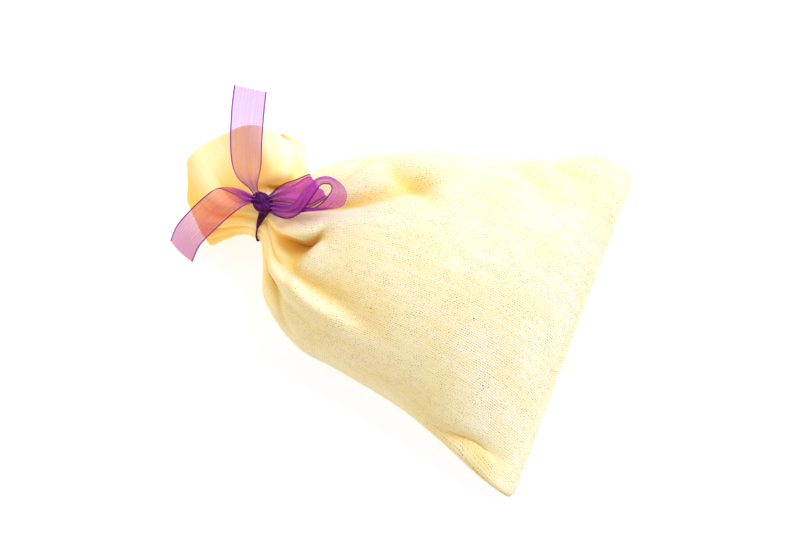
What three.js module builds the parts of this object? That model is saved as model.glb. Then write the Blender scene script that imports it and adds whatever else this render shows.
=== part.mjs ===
// A stuffed cotton pouch lying on its back, its gathered neck tied with a ribbon bow.
// Millimetres, +Z up, the pouch runs along X: the frill at -X, the sewn bottom edge at +X.
import * as THREE from "three";

const TURN = 2 * Math.PI;
const DEGREE = Math.PI / 180;

// Driving dimensions of the cloth: the least half thickness of its outer and inner face at the seams,
// the length along it where the hollow starts, and the pleats that the tie draws in
const SEAM_HALF = 1.3;
const CAVITY_HALF = 0.12;
const CAVITY_START = 8;
const POINTS_ROUND = 60;
const PLEATS = { count: 12, drift: 9, waves: 2, phase: 1 };
const FOLD_RISE = 0.6;
const TINY = 1e-4;

// Driving dimensions of the ribbon
const RIBBON_THICK = 0.8;
const WRAP_INNER = 7.45;
const WRAP_THICK = 0.9;
const WRAP_WIDTH = 3.4;
const WRAP_BELLY = 0.5;
const KNOT_CENTRE = new THREE.Vector3(0.2, 0, 31.35);
const KNOT_RADII = new THREE.Vector3(2.9, 3, 2.5);
const KNOT_GROOVE = { depth: 0.16, narrow: 3 };
const KNOT_DETAIL = { around: 20, down: 14 };
const STEPS_PER_ROW = 3;

// Sections of the bag from the bottom seam to the hem: the cloth's length so far, the section's centre,
// its half width and heights, the power that thins its sides into the sewn edge, and the part of that
// power that its flatter underside keeps
const SECTIONS = [
  { along: 0, x: 98, y: 5.5, z: 3, wide: 54, up: 1.3, down: 1.3, fin: 0.5, base: 0.6 },
  { along: 5, x: 95.5, y: 5.5, z: 5, wide: 54.5, up: 7, down: 5.5, fin: 1.5, base: 0.6 },
  { along: 17, x: 87, y: 5.5, z: 10, wide: 53.5, up: 17, down: 12, fin: 1.3, base: 0.6 },
  { along: 34, x: 73, y: 3.7, z: 15, wide: 46.5, up: 24, down: 18, fin: 0.85, base: 0.6 },
  { along: 52, x: 57, y: 2, z: 18, wide: 40.5, up: 25.5, down: 22, fin: 0.6, base: 0.6 },
  { along: 72, x: 38, y: 0.6, z: 19, wide: 35.5, up: 24, down: 23, fin: 0.5, base: 0.6 },
  { along: 90, x: 22, y: -1.8, z: 19.5, wide: 30, up: 19, down: 22, fin: 0.5, base: 0.6 },
  { along: 104, x: 10, y: -3, z: 20, wide: 20, up: 12.5, down: 17, fin: 0.5, base: 0.8 },
  { along: 109.6, x: 5.8, y: -1.6, z: 20, wide: 11.5, up: 8.8, down: 11, fin: 0.5, base: 1 },
  { along: 112, x: 3.1, y: -0.3, z: 20, wide: 6.7, up: 6.6, down: 6.8, fin: 0.5, base: 1 },
  { along: 115, x: 0, y: 0, z: 20, wide: 6.2, up: 6.2, down: 6.2, fin: 0.5, base: 1 },
  { along: 117.6, x: -2.4, y: 0.1, z: 20, wide: 6.2, up: 6.2, down: 6.2, fin: 0.5, base: 1 },
  { along: 120, x: -4.8, y: 0.8, z: 20, wide: 7.2, up: 7, down: 7.4, fin: 0.5, base: 1 },
  { along: 123, x: -7.4, y: 3.6, z: 20, wide: 12, up: 8, down: 9.4, fin: 0.5, base: 1 },
  { along: 128, x: -11, y: 8, z: 19, wide: 19, up: 9, down: 11, fin: 0.5, base: 1 },
  { along: 136, x: -16.2, y: 14, z: 17.5, wide: 26, up: 9.5, down: 13.5, fin: 0.5, base: 1 },
  { along: 146, x: -22.4, y: 19.4, z: 15.5, wide: 31.5, up: 10, down: 14, fin: 0.5, base: 1 },
];

// Rows of points along the cloth, closer together at the tie
const ROW_SPANS = [
  { from: 0, to: 102, rows: 22 },
  { from: 102, to: 122, rows: 11 },
  { from: 122, to: 146, rows: 8 },
];

// How the tie gathers the cloth: the depth of its even pleats, the wall with the pleats packed in it,
// and how the frill turns to the far side, tilts up there, fans out and draws back in its middle
const GATHERS = [
  { along: 0, ripple: 0, wall: 1.2, yaw: 0, tilt: 0, fan: 0, dip: 0 },
  { along: 80, ripple: 0, wall: 1.2, yaw: 0, tilt: 0, fan: 0, dip: 0 },
  { along: 98, ripple: 1, wall: 1.2, yaw: 0, tilt: 0, fan: 0, dip: 0 },
  { along: 108, ripple: 1, wall: 2, yaw: 2, tilt: 0, fan: 0, dip: 0 },
  { along: 112, ripple: 0.5, wall: 4, yaw: 3, tilt: 0, fan: 0, dip: 0 },
  { along: 115, ripple: 0.5, wall: 4.6, yaw: 4, tilt: 1, fan: 0, dip: 0 },
  { along: 117.6, ripple: 0.6, wall: 4, yaw: 7, tilt: 4, fan: 2, dip: 0 },
  { along: 120, ripple: 0.9, wall: 2.4, yaw: 10, tilt: 8, fan: 8, dip: 0 },
  { along: 123, ripple: 1.6, wall: 1.4, yaw: 21, tilt: 13, fan: 32, dip: 0 },
  { along: 128, ripple: 2.2, wall: 1.2, yaw: 28, tilt: 18, fan: 57, dip: 1 },
  { along: 136, ripple: 2.9, wall: 1.2, yaw: 31, tilt: 22, fan: 71, dip: 2.6 },
  { along: 146, ripple: 3.4, wall: 1.2, yaw: 31, tilt: 24, fan: 80, dip: 4.5 },
];

// Folds pressed into the body: where each starts and ends along X, its angle round the section there,
// its depth, below zero for a ridge, and its half width in degrees; the far seam is at 0 and the top at 90
const FOLDS = [
  { from: 0, to: 58, start: 104, end: 131, depth: 9, spread: 11 },
  { from: 0, to: 50, start: 82, end: 58, depth: 5, spread: 11 },
  { from: 0, to: 32, start: 60, end: 15, depth: 3.5, spread: 9 },
  { from: 26, to: 56, start: 40, end: 74, depth: 4.5, spread: 8 },
  { from: 4, to: 44, start: 142, end: 146, depth: -2, spread: 8 },
  { from: 0, to: 27, start: 135, end: 178, depth: 4, spread: 9 },
  { from: 62, to: 92, start: 16, end: 52, depth: 2.2, spread: 9 },
  { from: 72, to: 95, start: 10, end: 36, depth: 1.8, spread: 7 },
  { from: 68, to: 95, start: 170, end: 148, depth: 3, spread: 8 },
];

// Centre lines of the ribbon's free stretches, with the half width and the direction across it
const STRIPS = {
  ribbon_loop_flat: [
    { x: 3.9, y: 3, z: 33.3, half: 1.2, ax: -0.4, ay: 0.75, az: 0.5 },
    { x: 6, y: 3.9, z: 34.9, half: 2.6, ax: -0.56, ay: 0.74, az: 0.36 },
    { x: 11.1, y: 5, z: 37.6, half: 4.2, ax: -0.76, ay: 0.58, az: 0.27 },
    { x: 15, y: 6.3, z: 40.5, half: 4.9, ax: -0.88, ay: 0.45, az: 0.12 },
    { x: 16.6, y: 6.8, z: 40.1, half: 5.1, ax: -0.9, ay: 0.42, az: 0.11 },
    { x: 15.2, y: 6.6, z: 38.6, half: 5, ax: -0.88, ay: 0.45, az: 0.14 },
    { x: 11.2, y: 4.8, z: 35.6, half: 4, ax: -0.79, ay: 0.54, az: 0.27 },
    { x: 6.8, y: 3.4, z: 33, half: 2.2, ax: -0.64, ay: 0.67, az: 0.37 },
    { x: 4.2, y: 2.4, z: 31.6, half: 1.2, ax: -0.3, ay: 0.7, az: 0.6 },
  ],
  ribbon_loop_round: [
    { x: 4.1, y: -1.5, z: 30.9, half: 1.2, ax: -0.1, ay: 0.57, az: 0.82 },
    { x: 6, y: -1.9, z: 33.1, half: 1.9, ax: -0.08, ay: 0.5, az: 0.86 },
    { x: 9, y: -1.9, z: 36.2, half: 2.2, ax: -0.2, ay: 0.43, az: 0.88 },
    { x: 11.9, y: -0.5, z: 39.4, half: 2.5, ax: -0.27, ay: 0.24, az: 0.93 },
    { x: 13.5, y: 1.6, z: 43, half: 2.8, ax: -0.31, ay: 0.12, az: 0.94 },
    { x: 14.9, y: 4.2, z: 45.7, half: 3.2, ax: -0.23, ay: -0.15, az: 0.96 },
    { x: 16.3, y: 6.8, z: 46.4, half: 3.5, ax: -0.09, ay: -0.14, az: 0.99 },
    { x: 18.5, y: 8, z: 46.4, half: 3.5, ax: 0, ay: -0.07, az: 1 },
    { x: 20.8, y: 7.7, z: 46, half: 3.5, ax: 0.3, ay: 0, az: 0.95 },
    { x: 22.5, y: 6.2, z: 45.6, half: 3.6, ax: 0.58, ay: 0, az: 0.82 },
    { x: 23.2, y: 4.6, z: 44.9, half: 3.6, ax: 0.64, ay: 0.03, az: 0.77 },
    { x: 22.6, y: 2.9, z: 43.3, half: 3.3, ax: 0.58, ay: 0, az: 0.81 },
    { x: 19.4, y: 1.5, z: 40.6, half: 2.7, ax: 0.5, ay: 0, az: 0.87 },
    { x: 14.9, y: 0.5, z: 38, half: 2.3, ax: 0.39, ay: 0.03, az: 0.92 },
    { x: 9.2, y: 0.3, z: 34.8, half: 1.7, ax: 0.25, ay: 0.12, az: 0.96 },
    { x: 4.3, y: 0.2, z: 32.2, half: 1.2, ax: 0, ay: 0.4, az: 0.92 },
  ],
  ribbon_tail_up: [
    { x: -3.2, y: 2.2, z: 32.5, half: 0.9, ax: 0.93, ay: 0.36, az: 0 },
    { x: -4.2, y: 3.2, z: 33.3, half: 1.6, ax: 0.93, ay: 0.35, az: 0.1 },
    { x: -5.9, y: 4.9, z: 34.4, half: 3.2, ax: 0.95, ay: 0.3, az: 0.09 },
    { x: -7.8, y: 8.2, z: 35.6, half: 4.4, ax: 0.96, ay: 0.27, az: 0.07 },
    { x: -10.6, y: 14.8, z: 36.8, half: 4.8, ax: 0.94, ay: 0.33, az: 0.06 },
    { x: -13.5, y: 23.4, z: 37.8, half: 5, ax: 0.97, ay: 0.22, az: 0.06 },
    { x: -15.4, y: 30, z: 38.4, half: 5, ax: 0.98, ay: 0.2, az: 0.06 },
  ],
  ribbon_tail_low: [
    { x: -3.5, y: -0.3, z: 31.9, half: 1, ax: -0.1, ay: 0.7, az: 0.7 },
    { x: -4.8, y: -0.8, z: 32.3, half: 2.1, ax: -0.28, ay: 0.77, az: 0.57 },
    { x: -7.5, y: -2, z: 32.4, half: 3.5, ax: -0.59, ay: 0.64, az: 0.49 },
    { x: -10.3, y: -3.6, z: 31.3, half: 4.5, ax: -0.71, ay: 0.57, az: 0.41 },
    { x: -13, y: -6.3, z: 28.4, half: 4.7, ax: -0.76, ay: 0.5, az: 0.4 },
    { x: -16.5, y: -10, z: 23, half: 4.7, ax: -0.83, ay: 0.38, az: 0.42 },
    { x: -19.4, y: -13.2, z: 17, half: 4.6, ax: -0.86, ay: 0.32, az: 0.4 },
    { x: -20.7, y: -16.3, z: 11, half: 4.6, ax: -0.84, ay: 0.4, az: 0.38 },
  ],
};

const MUSLIN = new THREE.MeshStandardMaterial({ name: "muslin", color: 0xefe0b4, roughness: 0.95 });
const ORGANZA = new THREE.MeshStandardMaterial({ name: "organza", color: 0x7d2a8c, roughness: 0.45 });

// Smooth values between the rows of a table, read along its first column
function smoothTable(rows) {
  const columns = Object.keys(rows[0]);
  const values = rows.flatMap((row) => columns.map((column) => row[column]));
  const spline = new THREE.CubicInterpolant(
    rows.map((row) => row[columns[0]]),
    values,
    columns.length,
  );
  return (at) => {
    const found = spline.evaluate(at);
    return Object.fromEntries(columns.map((column, i) => [column, found[i]]));
  };
}

// Depth of the pressed folds at a place on the body: each is a rounded valley, deepest near its start
function foldDepth(x, degrees) {
  let depth = 0;
  for (const fold of FOLDS) {
    const run = (x - fold.from) / (fold.to - fold.from);
    if (run <= 0 || run >= 1) continue;
    const off = (degrees - THREE.MathUtils.lerp(fold.start, fold.end, run)) / fold.spread;
    depth += fold.depth * Math.sin(Math.PI * run ** FOLD_RISE) * Math.exp(-off * off);
  }
  return depth;
}

const sectionAt = smoothTable(SECTIONS);
const gatherAt = smoothTable(GATHERS);

// A point of the bag's cloth at a length along it and an angle round it, on the outer or the inner face
function clothPoint(along, degrees, inner) {
  const section = sectionAt(along);
  const gather = gatherAt(along);
  const angle = degrees * DEGREE;
  const cosine = Math.cos(angle);
  const sine = Math.sin(angle);
  const height = sine >= 0 ? section.up : section.down;
  const power = 2 * section.fin * (sine >= 0 ? 1 : section.base);
  const drift = PLEATS.drift * DEGREE * Math.sin(PLEATS.waves * angle + PLEATS.phase);
  const pleat = gather.ripple * Math.cos(PLEATS.count * (angle + drift));
  const inset = inner ? gather.wall : 0;
  const sink = foldDepth(section.x, degrees) + pleat + inset;
  const normal = new THREE.Vector2(cosine / section.wide, sine / height).normalize();
  const across = section.wide * cosine - sink * normal.x;
  const lift = Math.abs(height * Math.abs(sine) ** power * Math.sign(sine) - sink * normal.y);
  const least = inner ? CAVITY_HALF : SEAM_HALF;
  const rise = Math.abs(sine) < TINY ? 0 : Math.sign(sine) * Math.max(lift, least);
  return placeInSection(section, gather, across, rise, inset);
}

// The section's own place in the bag: bent into the fan, turned, tilted and laid on the surface
function placeInSection(section, gather, across, rise, floor) {
  const fan = Math.max(gather.fan * DEGREE, TINY);
  const spreadAngle = (fan * across) / section.wide;
  const sideways = (section.wide * Math.sin(spreadAngle)) / fan;
  const middle = 1 - (across / section.wide) ** 2;
  const back = (section.wide * (1 - Math.cos(spreadAngle))) / fan + gather.dip * middle * Math.abs(middle);
  const yaw = gather.yaw * DEGREE;
  const tilt = gather.tilt * DEGREE;
  const level = sideways * Math.cos(tilt) - rise * Math.sin(tilt);
  return new THREE.Vector3(
    section.x + level * Math.sin(yaw) + back * Math.cos(yaw),
    section.y + level * Math.cos(yaw) - back * Math.sin(yaw),
    Math.max(section.z + sideways * Math.sin(tilt) + rise * Math.cos(tilt), floor),
  );
}

// One row of points round the bag
function clothRow(along, inner) {
  return Array.from({ length: POINTS_ROUND }, (_, j) => clothPoint(along, (360 * j) / POINTS_ROUND, inner));
}

// A closed mesh from rows of points, each row joined to the next and both end rows covered; the second
// half of a row is split along the mirrored diagonals, so both faces of a twisted strip stay parallel
function skin(rows) {
  const round = rows[0].length;
  const index = [];
  const at = (i, j) => i * round + (j % round);
  for (let i = 0; i + 1 < rows.length; i++) {
    for (let j = 0; j < round; j++) {
      const [a, b, c, d] = [at(i, j), at(i + 1, j), at(i + 1, j + 1), at(i, j + 1)];
      if (j < round / 2) index.push(a, b, c, a, c, d);
      else index.push(a, b, d, b, c, d);
    }
  }
  for (let j = 0; j < round / 2; j++) {
    const corners = [j, j + 1, round - j - 1, round - j];
    const first = corners.map((corner) => at(0, corner));
    const last = corners.map((corner) => at(rows.length - 1, corner));
    index.push(first[0], first[1], first[2], first[0], first[2], first[3]);
    index.push(last[2], last[1], last[0], last[3], last[2], last[0]);
  }
  return meshFrom(rows.flat(), index);
}

// A geometry from points and triangles, without the triangles that share a corner twice
function meshFrom(points, index) {
  const kept = [];
  for (let i = 0; i < index.length; i += 3) {
    const [a, b, c] = index.slice(i, i + 3);
    if (a !== b && b !== c && c !== a) kept.push(a, b, c);
  }
  const geometry = new THREE.BufferGeometry().setFromPoints(points).setIndex(kept);
  geometry.computeVertexNormals();
  return geometry;
}

// The bag: its outer face from the bottom seam to the hem, then its inner face back to the cavity's end
function bagGeometry() {
  const stops = ROW_SPANS.flatMap(({ from, to, rows }) =>
    Array.from({ length: rows }, (_, i) => THREE.MathUtils.lerp(from, to, i / rows)),
  );
  stops.push(ROW_SPANS.at(-1).to);
  const outer = stops.map((along) => clothRow(along, false));
  const inner = stops.filter((along) => along > CAVITY_START).map((along) => clothRow(along, true));
  return skin([...outer, ...inner.reverse()]);
}

// A ribbon strip along a table of centre points, with a rectangular section across it
function stripGeometry(rows) {
  const table = smoothTable(rows.map((row, at) => ({ at, ...row })));
  const steps = (rows.length - 1) * STEPS_PER_ROW;
  const found = Array.from({ length: steps + 1 }, (_, i) => table(i / STEPS_PER_ROW));
  const centres = found.map((row) => new THREE.Vector3(row.x, row.y, row.z));
  return skin(
    found.map((row, i) => {
      const ahead = centres[Math.min(i + 1, steps)].clone().sub(centres[Math.max(i - 1, 0)]).normalize();
      const across = new THREE.Vector3(row.ax, row.ay, row.az);
      across.addScaledVector(ahead, -across.dot(ahead)).setLength(row.half);
      const face = ahead.clone().cross(across).setLength(RIBBON_THICK / 2);
      const centre = centres[i];
      const corner = (side, top) =>
        centre.clone().addScaledVector(across, side).addScaledVector(face, top);
      return [corner(1, -1), corner(-1, -1), corner(-1, 1), corner(1, 1)];
    }),
  );
}

// The ribbon's turn round the neck: a band spun round X, a little fuller in its middle
function wrapGeometry() {
  const half = WRAP_WIDTH / 2;
  const outer = WRAP_INNER + WRAP_THICK;
  const profile = [
    new THREE.Vector2(WRAP_INNER, -half),
    new THREE.Vector2(outer, -half),
    new THREE.Vector2(outer + WRAP_BELLY, 0),
    new THREE.Vector2(outer, half),
    new THREE.Vector2(WRAP_INNER, half),
    new THREE.Vector2(WRAP_INNER, -half),
  ];
  const band = new THREE.LatheGeometry(profile, POINTS_ROUND);
  return band.rotateZ(-TURN / 4).translate(0, 0, SECTIONS.find((row) => row.x === 0).z);
}

// The knot: a rounded lump with a groove across it where the ribbon crosses itself
function knotGeometry() {
  const knot = new THREE.SphereGeometry(1, KNOT_DETAIL.around, KNOT_DETAIL.down);
  const place = knot.getAttribute("position");
  for (let i = 0; i < place.count; i++) {
    const point = new THREE.Vector3().fromBufferAttribute(place, i);
    const waist = 1 - KNOT_GROOVE.depth * Math.exp(-((KNOT_GROOVE.narrow * point.x) ** 2));
    point.multiplyScalar(waist).multiply(KNOT_RADII);
    place.setXYZ(i, point.x, point.y, point.z);
  }
  knot.computeVertexNormals();
  return knot.translate(KNOT_CENTRE.x, KNOT_CENTRE.y, KNOT_CENTRE.z);
}

// A named piece of the pouch
function piece(name, geometry, material) {
  const mesh = new THREE.Mesh(geometry, material);
  mesh.name = name;
  return mesh;
}

const pouch = new THREE.Group();
const bag = piece("bag", bagGeometry(), MUSLIN);
pouch.add(bag);
pouch.add(piece("ribbon_wrap", wrapGeometry(), ORGANZA));
pouch.add(piece("ribbon_knot", knotGeometry(), ORGANZA));
for (const [name, rows] of Object.entries(STRIPS)) pouch.add(piece(name, stripGeometry(rows), ORGANZA));

const middle = new THREE.Box3().setFromObject(bag).getCenter(new THREE.Vector3());
pouch.children.forEach((mesh) => mesh.position.set(-middle.x, -middle.y, 0));

export default pouch;
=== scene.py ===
"""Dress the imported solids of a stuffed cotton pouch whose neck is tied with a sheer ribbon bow.

The tables are in millimetres in the pouch's own frame: the tie at the origin, x towards the sewn bottom
edge, y across to the far side and z up from the surface. Meshes are metres in the frame of the solids.
"""

import logging
from dataclasses import dataclass, field
from enum import Enum
from typing import Any, NamedTuple, Sequence, TypeVar

import bpy
import numpy as np
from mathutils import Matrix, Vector


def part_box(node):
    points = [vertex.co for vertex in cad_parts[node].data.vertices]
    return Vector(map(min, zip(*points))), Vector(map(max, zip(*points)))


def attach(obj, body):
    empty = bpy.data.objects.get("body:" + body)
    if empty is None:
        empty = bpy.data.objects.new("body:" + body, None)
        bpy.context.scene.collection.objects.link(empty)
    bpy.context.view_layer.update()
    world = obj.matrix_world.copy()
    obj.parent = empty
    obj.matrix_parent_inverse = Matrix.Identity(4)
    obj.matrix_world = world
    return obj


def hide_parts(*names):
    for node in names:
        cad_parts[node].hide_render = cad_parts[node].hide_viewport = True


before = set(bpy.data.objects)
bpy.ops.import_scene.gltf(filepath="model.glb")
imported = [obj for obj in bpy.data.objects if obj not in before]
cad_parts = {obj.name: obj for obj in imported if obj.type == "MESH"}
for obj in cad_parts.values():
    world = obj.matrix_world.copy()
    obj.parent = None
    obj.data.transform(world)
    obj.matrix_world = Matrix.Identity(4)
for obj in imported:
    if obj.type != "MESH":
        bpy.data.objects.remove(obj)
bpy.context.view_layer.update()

logging.basicConfig(level=logging.INFO, format="%(message)s")
log = logging.getLogger("pouch")

Array = np.ndarray
Colour = tuple[float, float, float, float]
Range = tuple[float, float]
Row = TypeVar("Row", bound=tuple)
BLACK: Colour = (0, 0, 0, 1)
MM = 0.001
TINY = 1e-6
RIBBON_HALF = 5.0
BODY = "root"
KNOT = "ribbon_knot_wound"


class Slot(Enum):
    """The record's material slots."""

    MUSLIN = "muslin"
    ORGANZA = "organza"


class Held(Enum):
    """The ways in which a stretch of ribbon is held."""

    FOLDED = "folded"
    DRAPED = "draped"


def tie_place() -> Array:
    """Return the tie's middle on the surface, in metres: the middle of the ribbon's turn round the neck."""
    low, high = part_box("ribbon_wrap")
    return np.array([(low.x + high.x) / 2, (low.y + high.y) / 2, 0.0])


TIE = tie_place()


def read_table(rows: Sequence[Row], at: Array) -> Row:
    """Read a table smoothly between its rows, along its first column.

    Each column is a cubic Hermite curve, and its slope at a row is that of the line between the row's
    two neighbours.

    Args:
        rows: the table, its first column rising.
        at: the places to read, of any shape.

    Returns:
        One row whose columns are arrays of that shape.
    """
    values = np.array(rows, float)
    knots = values[:, 0]
    padded = np.vstack([2 * values[:1] - values[1:2], values, 2 * values[-1:] - values[-2:-1]])
    slopes = (padded[2:] - padded[:-2]) / (padded[2:, :1] - padded[:-2, :1])
    place = np.clip(np.asarray(at, float), knots[0], knots[-1])
    left = np.clip(np.searchsorted(knots, place, side="right") - 1, 0, len(knots) - 2)
    gap = (knots[left + 1] - knots[left])[..., None]
    t = (place - knots[left])[..., None] / gap
    found = (
        (1 + 2 * t) * (1 - t) ** 2 * values[left]
        + t * (1 - t) ** 2 * gap * slopes[left]
        + t**2 * (3 - 2 * t) * values[left + 1]
        + t**2 * (t - 1) * gap * slopes[left + 1]
    )
    return type(rows[0])(*np.moveaxis(found, -1, 0))


def unit(vectors: Array) -> Array:
    """Return the vectors of the last axis at length one."""
    return vectors / np.maximum(np.linalg.norm(vectors, axis=-1, keepdims=True), TINY)


def ramp(values: Array, start: float, end: float) -> Array:
    """Return a straight rise from 0 at the start to 1 at the end, level beyond them."""
    return np.clip((values - start) / (end - start), 0, 1)


def grid_faces(rows: int, columns: int, closed: bool, looped: bool = False) -> Array:
    """Number the corners of the four-sided faces of a grid of points.

    Args:
        rows: points along the grid.
        columns: points across or round it.
        closed: whether the last column joins the first.
        looped: whether the last row joins the first.

    Returns:
        The faces, one row of four point numbers each, row by row.
    """
    index = np.arange(rows * columns).reshape(rows, columns)
    if looped:
        index = np.vstack([index, index[:1]])
    ahead = np.roll(index, -1, axis=1)
    if not closed:
        index, ahead = index[:, :-1], ahead[:, :-1]
    return np.stack([index[:-1], ahead[:-1], ahead[1:], index[1:]], -1).reshape(-1, 4)


def add_object(name: str, data: bpy.types.ID) -> bpy.types.Object:
    """Add an object to the scene.

    Args:
        name: the object's name.
        data: its mesh, light or camera.

    Returns:
        The new object, at the origin.
    """
    added = bpy.data.objects.new(name, data)
    bpy.context.scene.collection.objects.link(added)
    return added


def add_mesh(name: str, points: Array, faces: Array) -> bpy.types.Object:
    """Add an object with a mesh of its own to the scene.

    Args:
        name: the name of both.
        points: the mesh's points, any grid of them.
        faces: four point numbers for each face.

    Returns:
        The new object, at the origin.
    """
    mesh = bpy.data.meshes.new(name)
    mesh.from_pydata(points.reshape(-1, 3).tolist(), [], faces.tolist())
    return add_object(name, mesh)


def make_piece(
    name: str, points: Array, faces: Array, corner_uv: Array, slot: Slot, *nodes: str
) -> bpy.types.Object:
    """Make a shaded mesh object that rides on the body and stands for solids of the model.

    Args:
        name: the piece's name.
        points: its points in millimetres in the pouch's frame, any grid of them.
        faces: four point numbers for each face.
        corner_uv: a place on the cloth, in millimetres, for each corner of each face.
        slot: the material slot that it would take its finish from; not used.
        nodes: the solids that it stands for.

    Returns:
        The new object, at the origin.
    """
    piece = add_mesh(name, points * MM + TIE, faces)
    layer = piece.data.uv_layers.new(name="cloth")
    layer.data.foreach_set("uv", corner_uv.astype(np.float32).ravel())
    piece.data.shade_smooth()
    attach(piece, BODY)
    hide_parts(*nodes)
    return piece


def mark_points(piece: bpy.types.Object, name: str, values: Array) -> None:
    """Give each point of a piece a number that its material can read."""
    layer = piece.data.attributes.new(name, "FLOAT", "POINT")
    layer.data.foreach_set("value", values.astype(np.float32).ravel())


class Value:
    """A number socket of a shader, on which arithmetic adds Math nodes."""

    def __init__(self, paint: "Paint", socket: bpy.types.NodeSocket) -> None:
        """Hold a socket and the paint that it belongs to."""
        self.paint = paint
        self.socket = socket

    def math(self, operation: str, *others: Any) -> "Value":
        """Return the result of a Math node on this value and the others."""
        return self.paint.node("Math", {"operation": operation}, {0: self, **dict(enumerate(others, 1))})

    def __add__(self, other: Any) -> "Value":
        """Return this value plus another."""
        return self.math("ADD", other)

    def __sub__(self, other: Any) -> "Value":
        """Return this value less another."""
        return self.math("SUBTRACT", other)

    def __rsub__(self, other: float) -> "Value":
        """Return a number less this value."""
        return self.paint.node("Math", {"operation": "SUBTRACT"}, {0: other, 1: self})

    def __mul__(self, other: Any) -> "Value":
        """Return this value times another."""
        return self.math("MULTIPLY", other)

    def __truediv__(self, other: Any) -> "Value":
        """Return this value divided by another."""
        return self.math("DIVIDE", other)

    def __pow__(self, other: Any) -> "Value":
        """Return this value raised to a power."""
        return self.math("POWER", other)

    __radd__ = __add__
    __rmul__ = __mul__

    def wave(self) -> "Value":
        """Return the height of half waves one unit long: the absolute sine of pi times this value."""
        return (self * np.pi).math("SINE").math("ABSOLUTE")

    def step(self, low: float, high: float) -> "Value":
        """Return a smooth step that rises from 0 at low to 1 at high."""
        settings = {"interpolation_type": "SMOOTHSTEP"}
        return self.paint.node("MapRange", settings, {"Value": self, "From Min": low, "From Max": high})


class Paint:
    """A material under construction."""

    def __init__(self, name: str) -> None:
        """Start an empty material.

        Args:
            name: the material's name.
        """
        self.material = bpy.data.materials.new(name)
        self.material.use_nodes = True
        self.tree = self.material.node_tree
        self.tree.nodes.clear()

    def node(self, kind: str, settings: dict[str, Any], inputs: dict[Any, Any], output: Any = 0) -> Value:
        """Add a node.

        Args:
            kind: the node's type, without the words that all shader nodes start with.
            settings: properties to set first.
            inputs: for each socket, by name or number, a Value to link or a number or colour to set.
            output: the socket to return.

        Returns:
            That output as a Value.
        """
        made = self.tree.nodes.new("ShaderNode" + kind)
        for key, setting in settings.items():
            setattr(made, key, setting)
        for key, given in inputs.items():
            if isinstance(given, Value):
                self.tree.links.new(given.socket, made.inputs[key])
            else:
                made.inputs[key].default_value = given
        return Value(self, made.outputs[output])

    def cloth_place(self) -> tuple[Value, Value]:
        """Read the place on the cloth from the piece's own map.

        Returns:
            The places across and along the cloth, in millimetres.
        """
        place = self.node("UVMap", {"uv_map": "cloth"}, {})
        split = self.node("SeparateXYZ", {}, {0: place})
        return split, Value(self, split.socket.node.outputs[1])

    def mark(self, name: str) -> Value:
        """Return a number that the piece's points carry."""
        return self.node("Attribute", {"attribute_name": name}, {}, "Fac")

    def at(self, across: Any, along: Any) -> Value:
        """Return a vector made of two values."""
        return self.node("CombineXYZ", {}, {0: across, 1: along})

    def noise(self, place: Value, scale: float, detail: float = 2.0) -> Value:
        """Return fractal noise from 0 to 1 at a place."""
        inputs = {"Vector": place, "Scale": scale, "Detail": detail}
        return self.node("TexNoise", {"noise_dimensions": "2D"}, inputs)

    def streaks(self, across: Value, along: Value, wide: float, long: float, detail: float) -> Value:
        """Return noise at one scale across the cloth and another along it."""
        return self.noise(self.at(across * wide, along * long), 1.0, detail)

    def chance(self, place: Value) -> Value:
        """Return an even random number from 0 to 1 for each place."""
        return self.node("TexWhiteNoise", {"noise_dimensions": "2D"}, {"Vector": place})

    def blend(self, share: Value, first: Any, second: Any) -> Value:
        """Return a colour that goes from the first to the second with the share."""
        return self.node("Mix", {"data_type": "RGBA"}, {0: share, 6: first, 7: second}, 2)

    def bump(self, height: Value, strength: float, distance: float) -> Value:
        """Return a normal that follows a height, which is worth a distance in metres at one."""
        return self.node("Bump", {}, {"Strength": strength, "Distance": distance, "Height": height})

    def finish(self, surface: Value) -> bpy.types.Material:
        """Connect the surface to the output.

        Args:
            surface: the finished surface's shader.

        Returns:
            The material.
        """
        output = self.tree.nodes.new("ShaderNodeOutputMaterial")
        self.tree.links.new(surface.socket, output.inputs["Surface"])
        return self.material


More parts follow.
